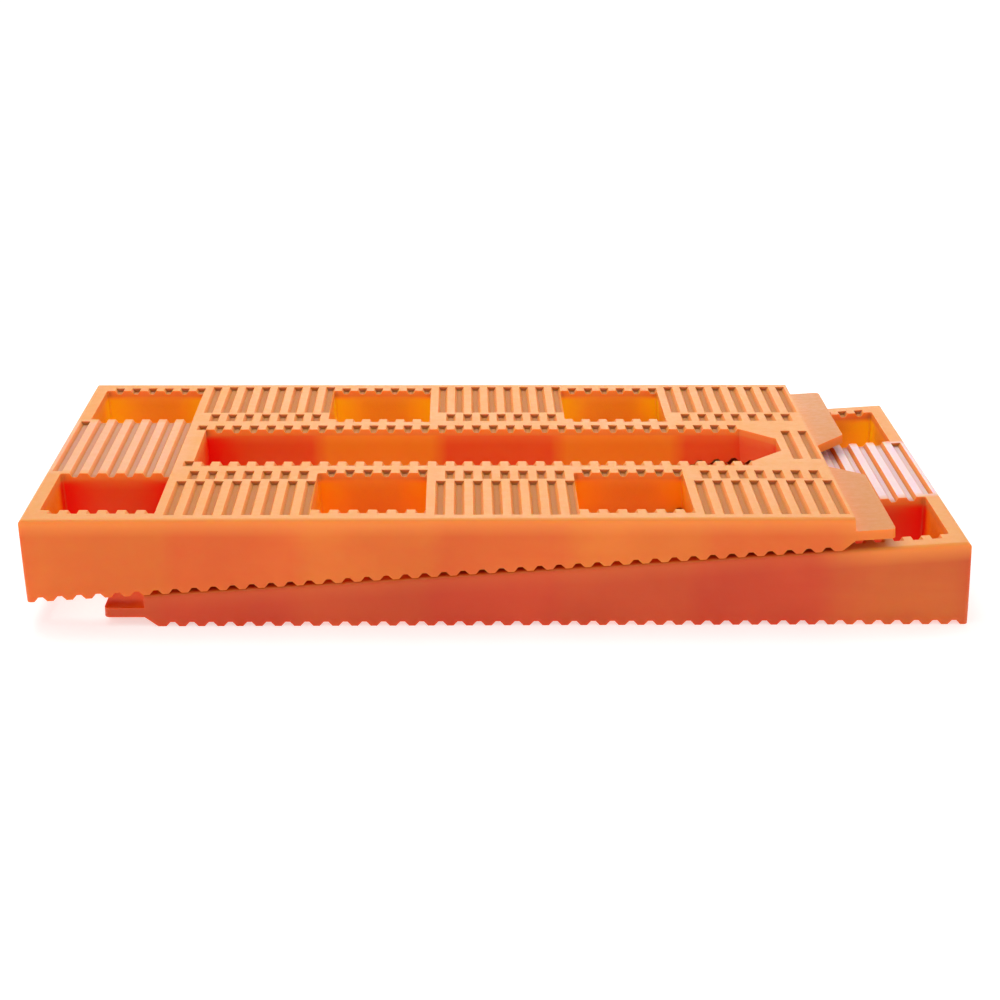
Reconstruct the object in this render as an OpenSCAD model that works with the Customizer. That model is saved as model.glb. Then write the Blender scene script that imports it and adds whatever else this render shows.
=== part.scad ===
// Tire traction mats: two identical one-piece wedges, stored as a level stack.
// The lower mat lies flat with its thick end at +X. The upper mat is turned end for end
// and lies on the lower mat's slope, so that its own ribbed top is level.
// Origin: centre of the stack's footprint, on the ground. +Z is up, units are millimetres.

/* [Mat] */
// Distance from one rib to the next
pitch = 9.3; // [8.6:0.1:10]
// Cell and pad pairs along each outer row
pairs = 3; // [2:1:4]
// Size of an open cell across the mat
cell_y = 55.8; // [52:0.2:60]
// Width of the rim along each side
side_rim = 14; // [12:0.5:16]
// Width of the rail between an outer cell and the middle slot
rail_w = 18.6; // [16:0.2:20]
// Height of the thick end
thick_h = 42.5; // [38:0.5:46]
// Height of the thin end, up to the rib tops
thin_h = 16.2; // [15:0.2:18]
// Length of the toes past the ribbed part
toe_len = 19.5; // [17:0.5:22]
// How far the foot of the thick end stands out past its top edge
draft = 1.2; // [0.6:0.2:2]

/* [Shell] */
// Thickness of the upright walls
wall = 2.8; // [2.4:0.1:3.2]
// Thickness of the deck, up to the rib tops
deck = 4.4; // [4:0.2:5]
// Radius of the outer top edges
edge_r = 2.5; // [1.5:0.25:3]

/* [Ribs] */
// Depth of the grooves between the ribs
groove_d = 2.1; // [1.6:0.1:2.4]
// Width of a groove at the rib tops
groove_w = 5.2; // [4.6:0.1:5.6]
// Depth of the teeth along the bottom edges
tooth_d = 2.2; // [1.6:0.1:2.6]

/* [Stack] */
// How far the upper mat's thick end stands past the lower mat's ribbed end
overhang = 58; // [54:0.5:62]

/* [Hidden] */
$fn = 48;
cell_n = 6;
pad_n = 8;
step_n = cell_n + pad_n;
rib_n = 1 + pairs * step_n;
ribbed_len = (rib_n + 0.2) * pitch;
mat_w = 2 * side_rim + 2 * rail_w + 3 * cell_y;
slope = (thick_h - thin_h) / (ribbed_len - draft);
tilt = atan(slope);

// Rounded top corner of the thick end: inward normals of both faces, and its centre
end_normal = [cos(atan(draft / thick_h)), -sin(atan(draft / thick_h))];
top_normal = [-sin(tilt), -cos(tilt)];
corner_gap = edge_r * (end_normal + top_normal) / (1 + end_normal * top_normal);
end_corner = [draft, thick_h] + corner_gap;

// Outer cells, across the mat
cell_y0 = side_rim;
cell_y1 = side_rim + cell_y;
cell_r = 1.5;

// Middle slot, with 45 degree gussets at the thin end
slot_x0 = pad_n * pitch;
slot_x1 = (rib_n - 2) * pitch;
slot_y0 = cell_y1 + rail_w;
gusset = 17.6;
miter = tan(22.5);

// Toes: a thin plate at mid height, split by a flared notch
toe_top = thin_h - 6.6;
toe_under = 4.8;
toe_slant = 6.5;
toe_r = 3;
notch_half = 14.8;
corner_r = 2.5;

// Rows of grooves, measured from the mat's side
border = 6.5;
long_y1 = cell_y1 - 12.5;
short_y0 = cell_y1 - 9.5;
short_y1 = cell_y1 + 3.5;
edge_cut = 5.2;
slot_cut = 7.2;
pad_cut = 3.5;
groove_root = 2.4;
tooth_w = 6.3;
tooth_root = 2.2;

// The stack
rest_gap = 0.1;
stack_len = ribbed_len + overhang;
over = 1;
tall = thick_h + 2 * over;

mat_orange = [0.95, 0.45, 0.16];

function cell_x(i) = (1 + i * step_n) * pitch;
function top_z(x) = thick_h - slope * (x - draft);
function groove_x(k) = (k + 0.75) * pitch;

// Rounded rectangle from squares and circles
module round_rect(x0, y0, x1, y1, r) {
  translate([x0 + r, y0])
    square([x1 - x0 - 2 * r, y1 - y0]);
  translate([x0, y0 + r])
    square([x1 - x0, y1 - y0 - 2 * r]);
  for (x = [x0 + r, x1 - r], y = [y0 + r, y1 - r])
    translate([x, y])
      circle(r);
}

// Repeat a shape on both sides of the mat's long centre line
module both_sides() {
  children();
  translate([0, mat_w])
    mirror([0, 1, 0])
      children();
}

// Plan of the middle slot, grown by g on every side
module slot_plan(g) {
  far_y = mat_w - slot_y0;
  polygon([
    [slot_x0 - g, slot_y0 - g],
    [slot_x1 - gusset + g * miter, slot_y0 - g],
    [slot_x1 + g, slot_y0 + gusset - g * miter],
    [slot_x1 + g, far_y - gusset + g * miter],
    [slot_x1 - gusset + g * miter, far_y + g],
    [slot_x0 - g, far_y + g]
  ]);
}

// Plan of all the openings, grown by g on every side
module openings_plan(g) {
  slot_plan(g);
  both_sides()
    for (i = [0 : pairs - 1])
      round_rect(cell_x(i) - g, cell_y0 - g,
                 cell_x(i) + cell_n * pitch + g, cell_y1 + g, cell_r + g);
}

// Plan of the ribs that stiffen the hollow underside
module stiffener_plan() {
  both_sides() {
    translate([0, cell_y1])
      square([ribbed_len, wall]);
    translate([0, slot_y0 - wall])
      square([ribbed_len, wall]);
    translate([0, (cell_y0 + cell_y1 - wall) / 2])
      square([ribbed_len, wall]);
  }
  translate([0, (mat_w - wall) / 2])
    square([ribbed_len, wall]);
  for (k = [4 : step_n / 2 : rib_n])
    translate([k * pitch - wall / 2, 0])
      square([wall, mat_w]);
}

// Plan of the pockets under the deck
module pocket_plan() {
  difference() {
    translate([wall, wall])
      square([ribbed_len - wall - toe_slant, mat_w - 2 * wall]);
    openings_plan(wall);
    stiffener_plan();
  }
}

// Plan of the ribbed part, rounded at the thick end
module outline_plan() {
  polygon([
    [corner_r, 0], [ribbed_len, 0], [ribbed_len, mat_w],
    [corner_r, mat_w], [0, mat_w - corner_r], [0, corner_r]
  ]);
  both_sides()
    translate([corner_r, corner_r])
      circle(corner_r);
}

// Turn a side profile (length, height) into a solid across the whole mat
module across() {
  translate([0, mat_w + over, 0])
    rotate([90, 0, 0])
      linear_extrude(mat_w + 2 * over)
        children();
}

// Side profile of the wedge, with its top corner at the thick end rounded
module wedge_profile() {
  polygon([
    [0, 0],
    end_corner - edge_r * end_normal,
    end_corner - edge_r * top_normal,
    [ribbed_len, top_z(ribbed_len)],
    [ribbed_len, 0]
  ]);
  translate(end_corner)
    circle(edge_r);
}

// Side profile of the hollow under the deck
module hollow_profile() {
  polygon([
    [wall, -over],
    [wall + draft, thick_h - deck],
    [ribbed_len, top_z(ribbed_len) - deck],
    [ribbed_len, -over]
  ]);
}

// Slanted cut under the thin end, up to the underside of the toes
module toe_relief() {
  across()
    polygon([
      [ribbed_len - toe_slant, 0],
      [ribbed_len, toe_under],
      [ribbed_len + toe_len, toe_under],
      [ribbed_len + toe_len, -over],
      [ribbed_len - toe_slant, -over]
    ]);
}

// Cutter for one straight groove of length len, running along +Y below z = 0
module groove(len, top_w, root_w, depth) {
  flare = (top_w - root_w) / (2 * depth);
  translate([0, len, 0])
    rotate([90, 0, 0])
      linear_extrude(len)
        polygon([
          [-top_w / 2 - flare, 1],
          [top_w / 2 + flare, 1],
          [root_w / 2, -depth],
          [-root_w / 2, -depth]
        ]);
}

// Top groove number k, from y0 to y1, at a phase of shift pitches
module top_groove(k, y0, y1, shift = 0) {
  x = groove_x(k) + shift * pitch;
  translate([x, y0, top_z(x)])
    rotate([0, tilt, 0])
      groove(y1 - y0, groove_w, groove_root, groove_d);
}

// Grooves of one outer row of pads, with the staggered short row beside the rail
module pad_grooves() {
  for (i = [0 : pairs - 1]) {
    first = 1 + cell_n + i * step_n;
    for (k = [first : first + pad_n - 1])
      top_groove(k, border, long_y1);
    for (k = [first + 1 : first + pad_n - 1])
      top_groove(k, short_y0, short_y1, -0.5);
  }
}

// Notches along the long edges of the outer cells
module cell_notches() {
  for (i = [0 : pairs - 1], j = [0 : cell_n - 1]) {
    k = 1 + i * step_n + j;
    top_groove(k, cell_y0 - edge_cut, cell_y0 + over);
    top_groove(k, cell_y1 - over, cell_y1 + edge_cut);
  }
}

// Notches along one long edge of the slot
module slot_notches() {
  last = floor((slot_x1 - gusset) / pitch) - 1;
  for (k = [pad_n - 1 : last])
    top_groove(k, slot_y0 - slot_cut, slot_y0 + over);
}

// Grooves of the middle pad and of the bar at the slot's thin end
module middle_grooves() {
  top_groove(0, cell_y1 + pad_cut, mat_w - cell_y1 - pad_cut);
  for (k = [1 : cell_n])
    top_groove(k, cell_y1 - over, mat_w - cell_y1 + over);
  for (k = [rib_n - 2, rib_n - 1])
    top_groove(k, slot_y0 + pad_cut, mat_w - slot_y0 - pad_cut);
}

// Notches that leave teeth along every bottom edge
module bottom_notches() {
  for (k = [0 : rib_n - 2])
    translate([groove_x(k), -over, 0])
      mirror([0, 0, 1])
        groove(mat_w + 2 * over, tooth_w, tooth_root, tooth_d);
}

// Cutter that rounds an edge lying on +X, with the solid on the +Y and -Z side
module edge_rounder(len) {
  rotate([90, 0, 90])
    linear_extrude(len)
      difference() {
        translate([-over, -edge_r])
          square([edge_r + over, edge_r + over]);
        translate([edge_r, -edge_r])
          circle(edge_r);
      }
}

// Rounded top edges along both sides
module top_edges() {
  both_sides()
    translate([-over, 0, top_z(-over)])
      rotate([0, tilt, 0])
        edge_rounder(ribbed_len + 4 * over);
}

// One toe, from the side of the mat to the flared notch
module toe() {
  root = ribbed_len - toe_slant / 2;
  tip = ribbed_len + toe_len;
  inner = mat_w / 2 - notch_half;
  translate([0, 0, toe_under])
    linear_extrude(toe_top - toe_under) {
      polygon([
        [root, 0],
        [tip - toe_r, 0],
        [tip, toe_r],
        [tip, inner - toe_len],
        [ribbed_len, inner],
        [root, inner]
      ]);
      translate([tip - toe_r, toe_r])
        circle(toe_r);
    }
}

// One complete mat: thick end at x = 0, side at y = 0, standing on z = 0
module mat() {
  difference() {
    intersection() {
      linear_extrude(tall)
        outline_plan();
      across()
        wedge_profile();
    }
    toe_relief();
    translate([0, 0, -over])
      linear_extrude(tall + over)
        openings_plan(0);
    intersection() {
      translate([0, 0, -over])
        linear_extrude(tall)
          pocket_plan();
      across()
        hollow_profile();
    }
    both_sides() {
      pad_grooves();
      cell_notches();
      slot_notches();
    }
    middle_grooves();
    bottom_notches();
    top_edges();
  }
  both_sides()
    toe();
}

module lower_mat() {
  color(mat_orange)
    translate([stack_len / 2, mat_w / 2, 0])
      rotate([0, 0, 180])
        mat();
}

module upper_mat() {
  start_x = edge_r - stack_len / 2 - end_corner.x * cos(tilt) + end_corner.y * sin(tilt);
  start_z = top_z(stack_len / 2 - start_x) + rest_gap;
  color(mat_orange)
    translate([start_x, -mat_w / 2, start_z])
      rotate([0, -tilt, 0])
        mat();
}

lower_mat();
upper_mat();
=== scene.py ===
"""Looks of the tire traction mats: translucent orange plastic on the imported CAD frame."""
import math
import bpy
from mathutils import Matrix, Vector


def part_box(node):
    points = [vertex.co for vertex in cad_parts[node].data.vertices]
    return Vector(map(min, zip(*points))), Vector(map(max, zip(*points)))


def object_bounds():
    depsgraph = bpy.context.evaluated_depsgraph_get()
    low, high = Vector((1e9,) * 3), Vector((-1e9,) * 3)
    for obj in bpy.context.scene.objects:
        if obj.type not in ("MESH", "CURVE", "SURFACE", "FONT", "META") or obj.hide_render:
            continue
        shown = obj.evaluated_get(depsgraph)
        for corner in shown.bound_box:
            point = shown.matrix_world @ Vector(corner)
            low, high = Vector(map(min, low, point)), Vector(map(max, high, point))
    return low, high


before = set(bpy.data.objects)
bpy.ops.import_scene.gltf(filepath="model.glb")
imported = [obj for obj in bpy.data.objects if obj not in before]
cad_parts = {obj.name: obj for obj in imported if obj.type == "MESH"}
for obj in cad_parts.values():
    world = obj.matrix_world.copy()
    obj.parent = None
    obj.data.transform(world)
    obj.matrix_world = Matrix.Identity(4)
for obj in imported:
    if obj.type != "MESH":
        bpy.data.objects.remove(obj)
cad_low, cad_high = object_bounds()

MM = 0.001
RIB = 9.3 * MM

# Fall of the lower mat's top, in metres for each metre along it
SLOPE = 0.0657

# Layout of a mat, in ribs from its thick end
FIRST_PAD = 7.0
PAD_STEP = 14.0
PAD_RIBS = 7.0
DECK_END = 43.0
ALL_RIBS = 60.0
LOWER_COVERED = 6.0

# Colours of the plastic, linear
ORANGE_DEEP = (0.74, 0.130, 0.012, 1.0)
ORANGE_LIGHT = (0.82, 0.175, 0.020, 1.0)
ORANGE_STREAK = (0.76, 0.105, 0.010, 1.0)
# Painted light: a lighter band along the top edges
PAINTED_EDGE_LIGHT = (0.94, 0.33, 0.06, 1.0)
# Painted light and painted reflection: the paler colour of tops that face the open sky
PAINTED_LIT_TOP = (0.76, 0.30, 0.055, 1.0)
# Painted shade: the darker tan of the grooves between the ribs
PAINTED_GROOVE_SHADE = (0.49, 0.185, 0.060, 1.0)
# Painted light: the lit tan of the toes' upward faces
PAINTED_LIT_TOE_TOP = (0.59, 0.205, 0.020, 1.0)
SHADED_RED = (0.62, 0.085, 0.010, 1.0)
# Pinkish white painted on the upward faces of the middle pad
PAD_PINKISH_WHITE = (0.80, 0.67, 0.74, 1.0)

# Painted light and shade on the walls of the openings: lit with another opening behind them, lit
# more at the far rim, and in painted shade with a hollow behind
WALL_LIT = (1.0, 0.34, 0.001, 1.0)
RIM_LIT = (1.0, 0.50, 0.001, 1.0)
WALL_PAINTED_SHADE = (0.92, 0.006, 0.0005, 1.0)

# Painted glow: light given off by the same three kinds of wall, standing in for light that passes
# through them
BLACK = (0.0, 0.0, 0.0, 1.0)
WALL_GLOW = (1.0, 0.10, 0.0, 1.0)
RIM_GLOW = (1.0, 0.36, 0.0, 1.0)
BLOCKED_GLOW = (0.15, 0.002, 0.0, 1.0)

# Tints, multiplied into the orange: painted light where light comes through the plastic, painted
# shade under the other mat and on the open part of the lower mat
WHITE = (1.0, 1.0, 1.0, 1.0)
FACE_LIT = (1.0, 1.25, 1.1, 1.0)
UNDER_MAT_SHADE = (0.80, 0.41, 0.65, 1.0)
LOWER_MAT_SHADE = (0.82, 0.66, 0.75, 1.0)


# ---------------------------------------------------------------- node helpers
class Graph:
    """Short hand for building a material's node tree."""

    def __init__(self, name):
        self.material = bpy.data.materials.new(name)
        self.material.use_nodes = True
        self.tree = self.material.node_tree
        self.tree.nodes.clear()

    def node(self, kind, **settings):
        made = self.tree.nodes.new("ShaderNode" + kind)
        for key, value in settings.items():
            setattr(made, key, value)
        return made

    def link(self, source, target):
        self.tree.links.new(source, target)

    def feed(self, socket, value):
        """Link an output to a socket, or set the socket to a plain value."""
        if hasattr(value, "is_output"):
            self.link(value, socket)
        else:
            socket.default_value = value

    def math(self, operation, a, b=0.0, c=0.0):
        made = self.node("Math", operation=operation)
        for socket, value in zip(made.inputs, (a, b, c)):
            self.feed(socket, value)
        return made.outputs[0]

    def both(self, a, b):
        """Where two masks hold together."""
        return self.math("MULTIPLY", a, b)

    def span(self, value, low, high, to_low=0.0, to_high=1.0):
        """A value's way from low to high, clamped, as to_low to to_high."""
        made = self.node("MapRange", clamp=True)
        for socket, v in zip(made.inputs, (value, low, high, to_low, to_high)):
            self.feed(socket, v)
        return made.outputs[0]

    def inverse(self, mask):
        return self.span(mask, 0.0, 1.0, 1.0, 0.0)

    def mix(self, factor, a, b, blend="MIX"):
        made = self.node("Mix", data_type="RGBA", blend_type=blend)
        self.feed(made.inputs[0], factor)
        self.feed(made.inputs[6], a)
        self.feed(made.inputs[7], b)
        return made.outputs[2]

    def tint(self, colour, by):
        return self.mix(1.0, colour, by, "MULTIPLY")

    def noise(self, where, scale, detail=3.0):
        made = self.node("TexNoise")
        self.feed(made.inputs["Vector"], where)
        made.inputs["Scale"].default_value = scale
        made.inputs["Detail"].default_value = detail
        made.inputs["Roughness"].default_value = 0.5
        return made.outputs["Fac"]

    def axes(self, vector):
        made = self.node("SeparateXYZ")
        self.link(vector, made.inputs[0])
        return made.outputs

    def occlusion(self, distance):
        """How open a point is, as far as distance, with only its own mat in the way."""
        made = self.node("AmbientOcclusion", samples=8, only_local=True)
        made.inputs["Distance"].default_value = distance
        return made.outputs["AO"]

    def bump(self, height, strength, distance, under=None):
        made = self.node("Bump")
        made.inputs["Strength"].default_value = strength
        made.inputs["Distance"].default_value = distance
        self.link(height, made.inputs["Height"])
        if under is not None:
            self.link(under, made.inputs["Normal"])
        return made.outputs[0]

    def finish(self, shader):
        """Connect the shader to the output and hand over the material."""
        out = self.node("OutputMaterial")
        self.link(shader.outputs[0], out.inputs["Surface"])
        return self.material


def linear(red, green, blue):
    """An sRGB colour, 0 to 255, as linear RGBA."""
    out = []
    for value in (red, green, blue):
        v = value / 255
        out.append(v / 12.92 if v <= 0.04045 else ((v + 0.055) / 1.055) ** 2.4)
    return tuple(out) + (1.0,)


# ---------------------------------------------------------------- materials
def plastic(name, direction, start, top, fall, covered_to, open_shade_tint, pad_whitening):
    """Translucent orange plastic of one mat.

    start and direction give its thick end and the way it runs, top and fall the height of its
    ribs there and how much that drops per metre. Past covered_to ribs the other mat shuts out
    the light from above, which is painted in as shade, and open_shade_tint darkens it with painted
    shade before that. pad_whitening sets how much pinkish white is painted on its middle pad.
    """
    g = Graph(name)
    where = g.node("TexCoord").outputs["Object"]
    x, y, z = g.axes(where)
    facing = g.axes(g.node("NewGeometry").outputs["Normal"])[2]
    upward = g.span(facing, 0.5, 0.9)
    downward = g.span(facing, -0.3, -0.8)
    not_downward = g.span(facing, -0.3, 0.0)

    # Places on the mat: ribs counts from the thick end, across and below_top are in metres
    from_start = g.math("SUBTRACT", x, start)
    ribs = g.math("MULTIPLY", from_start, direction / RIB)
    run = g.math("MULTIPLY", from_start, direction)
    across = g.math("ABSOLUTE", y)
    below_top = g.math("SUBTRACT", g.math("MULTIPLY_ADD", run, -fall, top), z)
    near_top = g.span(below_top, 6 * MM, 3 * MM)
    far_rim = g.span(y, 0.0, 90 * MM)
    covered = g.span(ribs, covered_to - 1.5, covered_to + 2.5)
    toe = g.both(g.span(ribs, DECK_END, DECK_END + 0.4), upward)

    # Stretches with a hollow deck behind them: the rows of pads and the middle pad
    beat = g.math("WRAP", g.math("SUBTRACT", ribs, FIRST_PAD), PAD_STEP, 0.0)
    padded = g.both(g.span(beat, 0.0, 1.0), g.span(beat, PAD_RIBS, PAD_RIBS + 1.0, 1.0, 0.0))
    middle = g.both(g.span(ribs, 8.5, 7.0), g.span(across, 60 * MM, 50 * MM))
    blocked = g.math("MAXIMUM", padded, middle)

    # Cavities: deep ones hold mostly light that has passed through plastic
    slot_length = g.both(g.span(ribs, 7.7, 8.0), g.span(ribs, 41.4, 41.1))
    in_slot = g.both(g.span(across, 29 * MM, 28.2 * MM), slot_length)
    open_sky = g.math(
        "MINIMUM",
        g.span(g.occlusion(40 * MM), 0.62, 0.98),
        g.span(in_slot, 0.0, 1.0, 1.0, 0.68),
    )
    open_sky = g.math("MAXIMUM", open_sky, near_top)
    groove_open = g.span(g.occlusion(4 * MM), 0.45, 0.95)
    sunk = g.both(g.span(below_top, 0.5 * MM, 1.6 * MM), upward)
    in_groove = g.both(
        g.math("MAXIMUM", g.inverse(groove_open), sunk),
        g.span(below_top, 5 * MM, 2.8 * MM),
    )

    # Uneven pigment, flow lines along the mat, and the texture of the mould
    clouds = g.noise(where, 16.0, 4.0)
    streaks_map = g.node("Mapping")
    g.link(where, streaks_map.inputs["Vector"])
    streaks_map.inputs["Scale"].default_value = (14.0, 90.0, 90.0)
    streaks = g.noise(streaks_map.outputs[0], 1.0, 4.0)
    grain = g.noise(where, 1500.0, 2.0)
    fine = g.noise(where, 320.0)

    base = g.mix(g.span(clouds, 0.35, 0.65), ORANGE_DEEP, ORANGE_LIGHT)
    base = g.mix(g.span(streaks, 0.4, 0.7, 0.0, 0.3), base, ORANGE_STREAK)
    # Painted light: stretches with no hollow deck behind them are lighter, as light comes through
    # the plastic
    base = g.mix(blocked, g.tint(base, FACE_LIT), base)
    # Painted shade: darker and redder under the other mat, and on the lower mat's open part
    base = g.mix(covered, g.tint(base, open_shade_tint), g.tint(base, UNDER_MAT_SHADE))
    # Painted light: a lighter band down to 9 mm below the top edges, weaker under the other mat
    edge = g.both(g.span(below_top, 0.0, 9 * MM, 0.85, 0.0), g.span(covered, 0.0, 1.0, 1.0, 0.15))
    base = g.mix(edge, base, PAINTED_EDGE_LIGHT)
    # Painted light and shade on the cavity walls, by what lies behind them
    wall = g.mix(blocked, g.mix(far_rim, WALL_LIT, RIM_LIT), WALL_PAINTED_SHADE)
    base = g.mix(open_sky, wall, base)
    # Painted light and painted reflection: upward faces open to the sky turn pale peach
    base = g.mix(g.both(upward, open_sky), base, PAINTED_LIT_TOP)
    # Painted light: the toes' upward faces take a lit tan
    base = g.mix(toe, base, PAINTED_LIT_TOE_TOP)
    # Painted shade in the grooves, from how open each point is and how far it lies below the rib
    # tops
    base = g.mix(in_groove, base, PAINTED_GROOVE_SHADE)
    # Pinkish white painted on the upward, open faces of the middle pad, by pad_whitening
    on_middle = g.both(g.span(ribs, 7.6, 6.0), g.span(across, 48 * MM, 40 * MM))
    whitened = g.both(upward, g.span(groove_open, 0.0, 1.0, 0.4 * pad_whitening, pad_whitening))
    base = g.mix(g.both(on_middle, whitened), base, PAD_PINKISH_WHITE)
    shaded = g.math("MAXIMUM", downward, g.both(covered, upward))
    base = g.mix(shaded, base, SHADED_RED)

    rough = g.math("ADD", g.span(fine, 0.3, 0.7, 0.34, 0.46), g.span(clouds, 0.3, 0.7, -0.03, 0.05))
    rough = g.math("MAXIMUM", rough, g.span(in_groove, 0.0, 1.0, 0.3, 0.85))
    surface = g.bump(grain, 0.35, 0.2 * MM)
    surface = g.bump(streaks, 0.3, 1.2 * MM, surface)
    # Painted glow: faces inside the cavities give off orange light
    enclosed = g.both(g.inverse(open_sky), not_downward)
    glow = g.mix(blocked, g.mix(far_rim, WALL_GLOW, RIM_GLOW), BLOCKED_GLOW)

    shader = g.node("BsdfPrincipled")
    g.link(base, shader.inputs["Base Color"])
    g.link(rough, shader.inputs["Roughness"])
    g.link(surface, shader.inputs["Normal"])
    g.link(g.mix(enclosed, BLACK, glow), shader.inputs["Emission Color"])
    shader.inputs["Emission Strength"].default_value = 0.16
    shader.inputs["IOR"].default_value = 1.52
    shader.inputs["Specular IOR Level"].default_value = 0.3
    shader.inputs["Subsurface Weight"].default_value = 1.0
    shader.inputs["Subsurface Radius"].default_value = (1.0, 0.30, 0.06)
    shader.inputs["Subsurface Scale"].default_value = 3 * MM
    return g.finish(shader)


def floor_material():
    g = Graph("floor_white")
    paper = g.noise(g.node("TexCoord").outputs["Object"], 30.0, 4.0)
    base = g.mix(g.span(paper, 0.3, 0.7), linear(203, 203, 202), linear(207, 207, 206))
    shader = g.node("BsdfPrincipled")
    g.link(base, shader.inputs["Base Color"])
    shader.inputs["Emission Color"].default_value = (1.0, 1.0, 0.99, 1.0)
    shader.inputs["Emission Strength"].default_value = 0.55
    shader.inputs["Roughness"].default_value = 0.9
    return g.finish(shader)


# ---------------------------------------------------------------- the two mats
def soften_edges(mat):
    """Merge the CAD mesh's flat triangles and round its sharp edges by half a millimetre."""
    weld = mat.modifiers.new("weld", "WELD")
    weld.merge_threshold = 0.01 * MM
    planar = mat.modifiers.new("planar", "DECIMATE")
    planar.decimate_type = "DISSOLVE"
    planar.angle_limit = math.radians(0.5)
    bevel = mat.modifiers.new("bevel", "BEVEL")
    bevel.width = 0.5 * MM
    bevel.segments = 2
    bevel.limit_method = "ANGLE"
    bevel.angle_limit = math.radians(25)
    bevel.use_clamp_overlap = True
    weighted = mat.modifiers.new("weighted", "WEIGHTED_NORMAL")
    weighted.keep_sharp = True


lower_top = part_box("lower_mat")[1].z
for name, direction, start, top, fall, covered_to, open_shade_tint, pad_whitening in (
    ("lower_mat", -1.0, cad_high.x, lower_top, SLOPE, LOWER_COVERED, LOWER_MAT_SHADE, 0.8),
    ("upper_mat", 1.0, cad_low.x, cad_high.z, 0.0, ALL_RIBS, WHITE, 0.18),
):
    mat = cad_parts[name]
    mat.data.materials.clear()
    mat.data.materials.append(
        plastic("orange_" + name, direction, start, top, fall, covered_to, open_shade_tint, pad_whitening)
    )
    soften_edges(mat)

# ---------------------------------------------------------------- floor and light
bpy.ops.mesh.primitive_plane_add(size=40, location=(0, 0, 0))
floor = bpy.context.object
floor.name = "floor"
floor.data.materials.append(floor_material())

scene = bpy.context.scene
world = bpy.data.worlds.new("studio")
world.use_nodes = True
background = world.node_tree.nodes["Background"]
background.inputs["Color"].default_value = WHITE
background.inputs["Strength"].default_value = 0.85
scene.world = world


def area_light(name, place, aim, size, power):
    data = bpy.data.lights.new(name, "AREA")
    data.shape = "SQUARE"
    data.size = size
    data.energy = power
    lamp = bpy.data.objects.new(name, data)
    lamp.location = place
    lamp.rotation_euler = (Vector(aim) - Vector(place)).to_track_quat("-Z", "Y").to_euler()
    scene.collection.objects.link(lamp)


area_light("key", (-0.4, 0.6, 1.5), (0, 0, 0), 0.9, 10)
area_light("back", (0.1, 2.2, 0.85), (0, 0, 0.02), 1.2, 5)

# ---------------------------------------------------------------- camera
CAMERA_AT = (-0.0182, -1.05548, 0.39439)
DOWN = math.radians(19.332)
YAW = math.radians(1.132)
ROLL = math.radians(0.284)
SENSOR_MM = 36
FOCAL_WIDTHS = 2.0851

forward = Vector((
    math.sin(YAW) * math.cos(DOWN),
    math.cos(YAW) * math.cos(DOWN),
    -math.sin(DOWN),
))
side = Vector((math.cos(YAW), -math.sin(YAW), 0))
above = side.cross(forward)
right = side * math.cos(ROLL) + above * math.sin(ROLL)
up = above * math.cos(ROLL) - side * math.sin(ROLL)
lens = bpy.data.cameras.new("camera")
lens.sensor_width = SENSOR_MM
lens.sensor_fit = "HORIZONTAL"
lens.lens = SENSOR_MM * FOCAL_WIDTHS
lens.clip_start = 0.05
lens.clip_end = 100
lens.dof.use_dof = False
camera = bpy.data.objects.new("camera", lens)
turn = Matrix((right, up, -forward)).transposed().to_4x4()
camera.matrix_world = Matrix.Translation(CAMERA_AT) @ turn
scene.collection.objects.link(camera)
scene.camera = camera

scene.view_settings.view_transform = "Standard"
scene.view_settings.look = "None"
scene.view_settings.exposure = 0.0
scene.view_settings.gamma = 1.0

bpy.context.view_layer.update()
